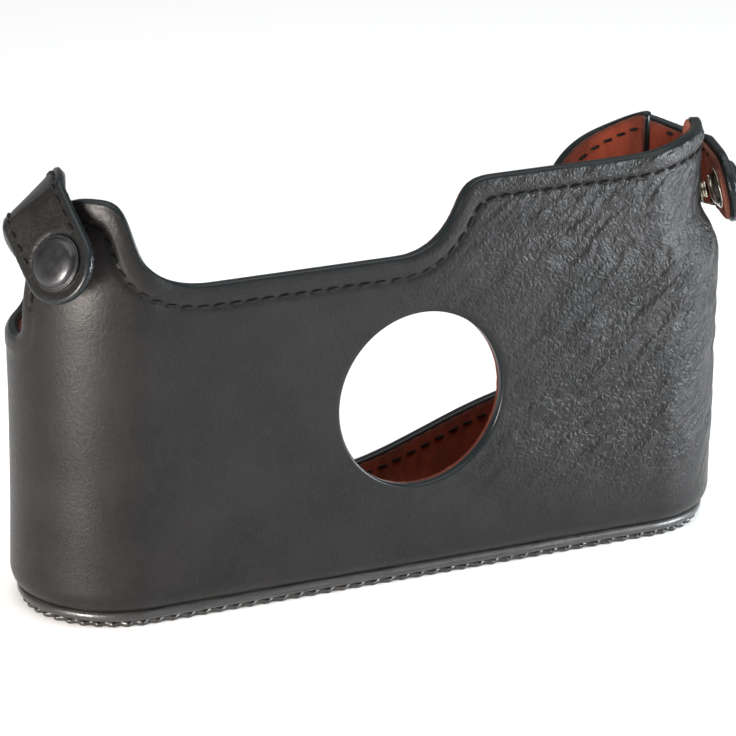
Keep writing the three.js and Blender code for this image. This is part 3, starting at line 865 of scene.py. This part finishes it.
def sole_stitches(materials):
    """Overcast stitches: each passes round the sole's edge, up to the welt."""
    per_stitch = 8
    ring = stadium(0.0, SOLE_RING_STEP)
    ring = np.vstack([ring, ring[:1]])
    length = len(ring) * SOLE_RING_STEP
    count = int(round(length / SOLE_PITCH))
    path = resample(ring, length / (count * per_stitch))
    side = inward(path[:-1], True)
    vertices, pattern, faces = [], [], []
    rings, around, radius = 9, 8, 0.42
    height, half_rise = SOLE_STITCH_HEIGHT
    for i in range(count):
        index = (i * per_stitch + per_stitch // 2) % len(side)
        here, turn_in = path[index], side[index]
        along = np.array([turn_in[1], -turn_in[0]])
        start = len(vertices)
        for t in np.linspace(-1, 1, rings):
            inset = SOLE_STITCH_INSET + SOLE_STITCH_DIP * abs(t) ** 2.5
            place = here + turn_in * inset + along * SOLE_STITCH_SLANT * t
            middle = np.array([*place, height + half_rise * t])
            for k in range(around):
                a = 2 * math.pi * k / around
                push = along * math.cos(a) * radius - turn_in * math.sin(a) * radius * 0.7
                vertices.append(middle + np.array([push[0], push[1], 0]))
                pattern.append((t * 1.2, a, 0))
        faces += tube_faces(start, rings, around)
    made = mesh_object("sole_stitches", vertices, faces, pattern)
    finish_piece(made, materials["thread"], ["sole_thread"])


def flat_plate(name, inset, low, high, spacing, relief_mm, seed):
    """A plate with round ends, flat below and slightly uneven above."""
    outline = stadium(inset, 1.2)
    start, stop = outline.min(0), outline.max(0)
    xs, ys = (np.arange(start[k], stop[k], spacing) for k in (0, 1))
    grid = np.stack(np.meshgrid(xs, ys), axis=-1).reshape(-1, 2)
    edge = resample(np.vstack([outline, outline[:1]]), 0.3)
    grid = grid[distances(grid, edge) > spacing * 0.6]
    points = np.vstack([outline, grid])
    triangles = triangulate(points, [list(range(len(outline)))])
    count = len(points)
    depth = smoothstep(distances(points, edge), 0, 3)
    wave = relief_mm * depth * noise(points[:, 0] / 16, points[:, 1] / 12, seed)
    fillet = 0.25 * (1 - smoothstep(distances(points, edge), 0, 0.6))
    upper = np.column_stack([points, high + wave - fillet])
    lower = np.column_stack([points, np.full(count, low)])
    faces = triangles.tolist() + (triangles[:, ::-1] + count).tolist()
    for i in range(len(outline)):
        after = (i + 1) % len(outline)
        faces.append([after, i, count + i, count + after])
    points = np.vstack([upper, lower])
    return mesh_object(name, points, faces, points, paint=np.zeros(2 * count))


def build_floor_pieces(materials):
    low, high = WALL_BOTTOM + 0.05, WALL_BOTTOM + 0.85
    insole = flat_plate("floor_suede", 4.7, low, high, spacing=1.6, relief_mm=0.12, seed=41)
    finish_piece(insole, materials["suede"], ["floor_lining"])
    under = flat_plate("sole", 4.4, 0.06, 1.16, spacing=2.5, relief_mm=0.02, seed=42)
    finish_piece(under, materials["leather"], ["sole_leather"])
    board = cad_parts["sole_board"]
    board.data.materials.clear()
    board.data.materials.append(materials["board"])


# ---- straps, tabs and snaps ----


def tab_matrix(spec, turned=0.0):
    """The tab's frame, turned about its crease: x towards the crease, z out through the cap."""
    z = unit(spec["normal"])
    x = np.array(spec["to_crease"], float)
    x = unit(x - z * np.dot(x, z))
    matrix = np.eye(4)
    matrix[:3, 0], matrix[:3, 1], matrix[:3, 2] = x, np.cross(z, x), z
    matrix[:3, 3] = np.array(spec["snap"]) - z * TAB_OUT
    crease = Matrix.Translation((spec["length"], 0, TAB_OUT))
    turn = crease @ Matrix.Rotation(math.radians(turned), 4, "Y") @ crease.inverted()
    return matrix @ np.array(turn)


class Ribbon:
    """A strap and its tab as one band. u is 0 at the crease, below 0 on the strap."""

    def __init__(self, spec):
        self.spec = spec
        side = spec["side"]
        matrix = tab_matrix(spec)
        to_crease, across, outward = matrix[:3, 0], matrix[:3, 1], matrix[:3, 2]
        across = across * np.sign(across[2])
        top = matrix[:3, 3] + outward * TAB_OUT
        crease = top + to_crease * spec["length"]

        angle = math.asin(spec["depth"] / HALF_DEPTH)
        foot_out = np.array([side * math.cos(angle), math.sin(angle), 0])
        foot = foot_out * HALF_DEPTH
        foot += (side * half_straight(side, spec["height"]), 0, spec["height"])
        leave = unit([side * math.sin(angle), -math.cos(angle), math.tan(spec["climb"])])
        arrive = -to_crease * math.cos(spec["bend"]) + outward * math.sin(spec["bend"])
        reach = np.linalg.norm(crease - foot) / 3
        strap = bezier(foot, foot + leave * reach, crease - arrive * reach, crease, 300)
        strap = resample(strap, RIBBON_STEP)
        share = np.linspace(0, 1, len(strap))[:, None]
        foot_wide = np.cross(leave, foot_out)
        foot_wide = foot_wide * np.sign(foot_wide[2])
        wide = unit(foot_wide * (1 - share) + across * share)
        out = unit(np.cross(wide, np.gradient(strap, axis=0))) * side
        tucked = 0.55 * (1 - smoothstep(share, 0.0, 0.35))
        strap = strap - out * tucked

        reach_u = np.arange(RIBBON_STEP, spec["length"] + TAB_HALF + 1, RIBBON_STEP)
        tab = crease - np.outer(reach_u, to_crease)
        flat = np.ones((len(tab), 1))
        table = np.hstack([
            np.vstack([strap, tab]), np.vstack([wide, flat * across]), np.vstack([out, flat * outward]),
        ])
        self.table = soften(table, 3)
        self.u = np.arange(len(table)) * RIBBON_STEP - (len(strap) - 1) * RIBBON_STEP
        self.middle = unit(arrive - to_crease)
        self.crease = crease

    def wrap(self, u, v, level):
        columns = [np.interp(u, self.u, self.table[:, k]) for k in range(9)]
        point, wide, out = (np.stack(columns[k:k + 3], axis=-1) for k in (0, 3, 6))
        v, level = np.asarray(v, float)[..., None], np.asarray(level, float)[..., None]
        return point + unit(wide) * v + unit(out) * (level - TAB_OUT)

    def foot_line(self, y):
        """Where the band passes into the front wall, as a line across it."""
        line_points = []
        for v in np.linspace(-TAB_HALF, TAB_HALF, 13):
            heights = self.wrap(self.u, np.full_like(self.u, v), 0.0)[:, 1]
            before = self.u < -2
            line_points.append((np.interp(-y, -heights[before], self.u[before]), v))
        return np.array(line_points)

    def outline(self, shrink=0.0):
        """(cut edge, hidden foot edge), anticlockwise when the cut edge is turned round."""
        half, middle = TAB_HALF - shrink, self.spec["length"]
        foot = self.foot_line(self.spec["notch_far"] + 0.9)
        turn = np.linspace(-math.pi / 2, math.pi / 2, 40)
        tip = np.stack([middle + half * np.cos(turn), half * np.sin(turn)], axis=1)
        foot_low, foot_high = foot[0], foot[-1]
        cut = np.vstack([line((foot_low[0], -half)), tip, line((foot_high[0], half))])
        cut = soften(resample(cut, RIBBON_STEP), 2)
        return cut[::-1], np.vstack([cut[-1:], foot[1:-1][::-1], cut[:1]])

    def seams(self):
        rows = []
        for sign in (-1, 1):
            start = self.foot_line(self.spec["notch_far"] - 0.8)[0 if sign < 0 else -1][0] + 0.5
            v = sign * (TAB_HALF - TAB_SEAM_INSET)
            rows.append(line((start, v), (self.spec["length"] - 2.6, v)))
        return rows


def ribbon_relief(ribbon):
    seam_line = np.vstack([resample(row, 0.2) for row in ribbon.seams()])
    snap_u = ribbon.spec["length"]

    def relief(points, depth, face_side):
        if face_side < 0:
            return 0.03 * noise(points[:, 0] / 2, points[:, 1] / 2, 51)
        from_seam = distances(points, seam_line)
        from_snap = np.hypot(points[:, 0] - snap_u, points[:, 1])
        seam = -STRAP_SEAM_DEPTH * np.exp(-(from_seam / 0.5) ** 2)
        pressed = -0.3 * np.exp(-((from_snap - CAP_RADIUS - 0.15) / 0.45) ** 2)
        slack = 0.1 * noise(points[:, 0] / 9, points[:, 1] / 7, 52)
        near_crease = np.exp(-(points[:, 0] / 3.0) ** 2)
        folds = 0.12 * near_crease * noise(points[:, 0] / 0.9, points[:, 1] / 4, 53)
        return smoothstep(depth, 0.1, 1.0) * (seam + pressed + slack + folds)

    return relief


def build_strap(label, spec, materials):
    ribbon = Ribbon(spec)

    def drawn(points):
        return np.full(len(points), STRAP_GRAIN)

    cut, hidden = ribbon.outline()
    leather = sheet(f"{label}_strap", Blank(cut, hidden, (), 0.5), ribbon.wrap, (TAB_OUT, TAB_SPLIT),
                    ribbon_relief(ribbon), (0.55, 1.5), drawn)
    nodes = [f"{label}_strap_leather", f"{label}_tab_leather"]
    finish_piece(leather, materials["leather"], nodes, None)
    cut, hidden = ribbon.outline(0.7)
    suede = sheet(f"{label}_strap_suede", Blank(cut, hidden, (), 0.6), ribbon.wrap,
                  (TAB_SPLIT - 0.03, -TAB_OUT), ribbon_relief(ribbon), (1.5, 0.9))
    nodes = [f"{label}_strap_lining", f"{label}_tab_lining"]
    finish_piece(suede, materials["suede"], nodes, None)
    rows = [(row, 3.0) for row in ribbon.seams()]
    thread = stitches(f"{label}_strap_stitches", rows, ribbon.wrap, TAB_OUT + 0.04, radius=0.3, length=2.0)
    nodes = [f"{label}_tab_thread_upper", f"{label}_tab_thread_lower"]
    finish_piece(thread, materials["thread"], nodes, None)
    below = stitches(f"{label}_strap_stitches_inside", rows, ribbon.wrap, -TAB_OUT - 0.04, side=-1,
                     radius=0.3, length=2.0)
    finish_piece(below, materials["thread"], [], None)
    for piece in (leather, suede, thread, below):
        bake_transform(piece)
    build_snap(label, spec, materials)


CAP_PROFILE = [
    (0, 2.0), (1.6, 1.94), (2.9, 1.76), (3.8, 1.5), (4.3, 1.2), (4.5, 0.85), (4.55, 0.5), (4.75, 0.42),
    (4.9, 0.62), (5.12, 0.6), (5.2, 0.35), (5.2, 0.1), (5.1, 0), (1.4, 0), (1.4, -2.6), (0, -2.6),
]
SOCKET_PROFILE = [
    (2.4, 0.0), (2.4, -0.9), (2.5, -1.2), (2.8, -1.4), (3.1, -1.25), (3.25, -0.8), (3.45, -0.62),
    (3.75, -0.7), (4.05, -0.55), (4.2, -0.3), (4.2, 0.0), (2.4, 0.0),
]
STUD_PROFILE = [
    (0, 1.75), (0.8, 1.7), (1.4, 1.5), (1.75, 1.1), (1.65, 0.85), (1.3, 0.65), (1.3, 0.45), (1.7, 0.42),
    (2.6, 0.34), (2.95, 0.2), (3.0, 0.0), (0, 0.0),
]


def build_snap(label, spec, materials):
    open_tab = tab_matrix(spec)
    shut_tab = tab_matrix(spec, spec["snapped"])

    def lifted(matrix, height):
        moved = matrix.copy()
        moved[:3, 3] += matrix[:3, 2] * height
        return moved

    tab = f"{label}_tab"
    cap = lathe(f"{label}_cap", CAP_PROFILE, lifted(open_tab, TAB_OUT))
    finish_piece(cap, materials["cap"], [f"{label}_snap_cap"], tab)
    socket = lathe(f"{label}_socket", SOCKET_PROFILE, lifted(open_tab, -TAB_OUT))
    finish_piece(socket, materials["nickel"], [f"{label}_snap_socket"], tab)

    plate_bottom = SOCKET_FACE - STUD_TOP_GAP - STUD_PLATE
    stud = lathe(f"{label}_stud", STUD_PROFILE, lifted(shut_tab, plate_bottom))
    finish_piece(stud, materials["nickel"], [f"{label}_snap_stud"])
    depth = spec["rivet_depth"]
    rivet_profile = [
        (0, -0.25), (0.9, -0.3), (1.2, 0.12), (1.5, -0.15), (2.2, -0.1), (2.75, 0.1), (2.8, 0.45),
        (1.1, 0.5), (1.1, depth - 0.3), (0, depth - 0.3),
    ]
    rivet = lathe(f"{label}_rivet", rivet_profile, lifted(shut_tab, plate_bottom - depth))
    finish_piece(rivet, materials["nickel"], [f"{label}_stud_rivet"])


# ---- camera, lights and floor ----

CAMERA_PLACE = (-367.3, -722.0, 321.8)   # in the case's own millimetres
CAMERA_YAW = math.radians(26.93)
CAMERA_PITCH = math.radians(19.36)
CAMERA_ROLL = math.radians(-0.88)
CAMERA_LENS = 220.0


def build_camera():
    data = bpy.data.cameras.new("camera")
    data.lens = CAMERA_LENS
    data.sensor_width = 36.0
    data.clip_end = 50.0
    camera = bpy.data.objects.new("camera", data)
    bpy.context.scene.collection.objects.link(camera)
    turn = Matrix.Rotation(-CAMERA_YAW, 4, "Z") @ Matrix.Rotation(math.pi / 2 - CAMERA_PITCH, 4, "X")
    turn = turn @ Matrix.Rotation(-CAMERA_ROLL, 4, "Z")
    camera.matrix_world = Matrix.Translation((np.array(CAMERA_PLACE) + CENTRE) * MM) @ turn
    bpy.context.scene.camera = camera


def softbox(name, azimuth, elevation, distance, size, power, colour, aim=(0, 0, 0.045)):
    """An area light. Azimuth 0 is in front of the back wall (-Y), and 90 beyond the right end (+X)."""
    data = bpy.data.lights.new(name, "AREA")
    data.shape = "RECTANGLE"
    data.size, data.size_y = size
    data.energy = power
    data.color = colour
    light = bpy.data.objects.new(name, data)
    bpy.context.scene.collection.objects.link(light)
    a, e = math.radians(azimuth), math.radians(elevation)
    way = Vector((math.sin(a) * math.cos(e), -math.cos(a) * math.cos(e), math.sin(e)))
    light.location = Vector(aim) + way * distance
    light.rotation_mode = "QUATERNION"
    light.rotation_quaternion = way.to_track_quat("Z", "Y")


def build_studio():
    floor_mesh = bpy.data.meshes.new("floor")
    half = 6.0
    corners = [(-half, -half, 0), (half, -half, 0), (half, half, 0), (-half, half, 0)]
    floor_mesh.from_pydata(corners, [], [(0, 1, 2, 3)])
    floor = add_object("floor", floor_mesh)
    floor_mesh.materials.append(floor_material())
    softbox("overhead", 10, 82, 1.3, (1.6, 1.6), 22, (1.0, 1.0, 1.0))
    softbox("warm_left", -58, 5, 0.35, (0.11, 0.1), 3.4, (1.0, 0.93, 0.86), (-0.06, 0, 0.045))
    softbox("cool_right", 50, 5, 0.26, (0.15, 0.09), 2.1, (0.9, 0.95, 1.0), (0.075, 0, 0.045))
    softbox("rim_back", 150, 60, 1.0, (1.0, 0.5), 1.0, (0.96, 0.98, 1.0))
    world = bpy.data.worlds.new("studio")
    world.use_nodes = True
    background = world.node_tree.nodes["Background"]
    background.inputs["Color"].default_value = (0.98, 0.99, 1.0, 1)
    background.inputs["Strength"].default_value = 0.24
    bpy.context.scene.world = world
    bpy.context.scene.view_settings.view_transform = "Standard"


# ---- the whole scene ----

build_camera()
build_studio()
finishes = {
    "leather": leather_material(),
    "suede": suede_material(),
    "burnished": burnished_material(),
    "thread": thread_material(),
    "board": board_material(),
    "cap": metal_material("gunmetal_cap", grey(0.016, 1.1), grey(0.024, 1.12), 0.34, 0.6, grey(0.05), 0.15),
    "nickel": metal_material("aged_nickel", (0.42, 0.38, 0.3, 1), (0.66, 0.63, 0.56, 1), 0.22, 1.0,
                             (0.3, 0.24, 0.16, 1)),
}
build_wall(finishes)
build_base(finishes)
sole_stitches(finishes)
build_floor_pieces(finishes)
for side_label, side_spec in SIDES.items():
    build_strap(side_label, side_spec, finishes)
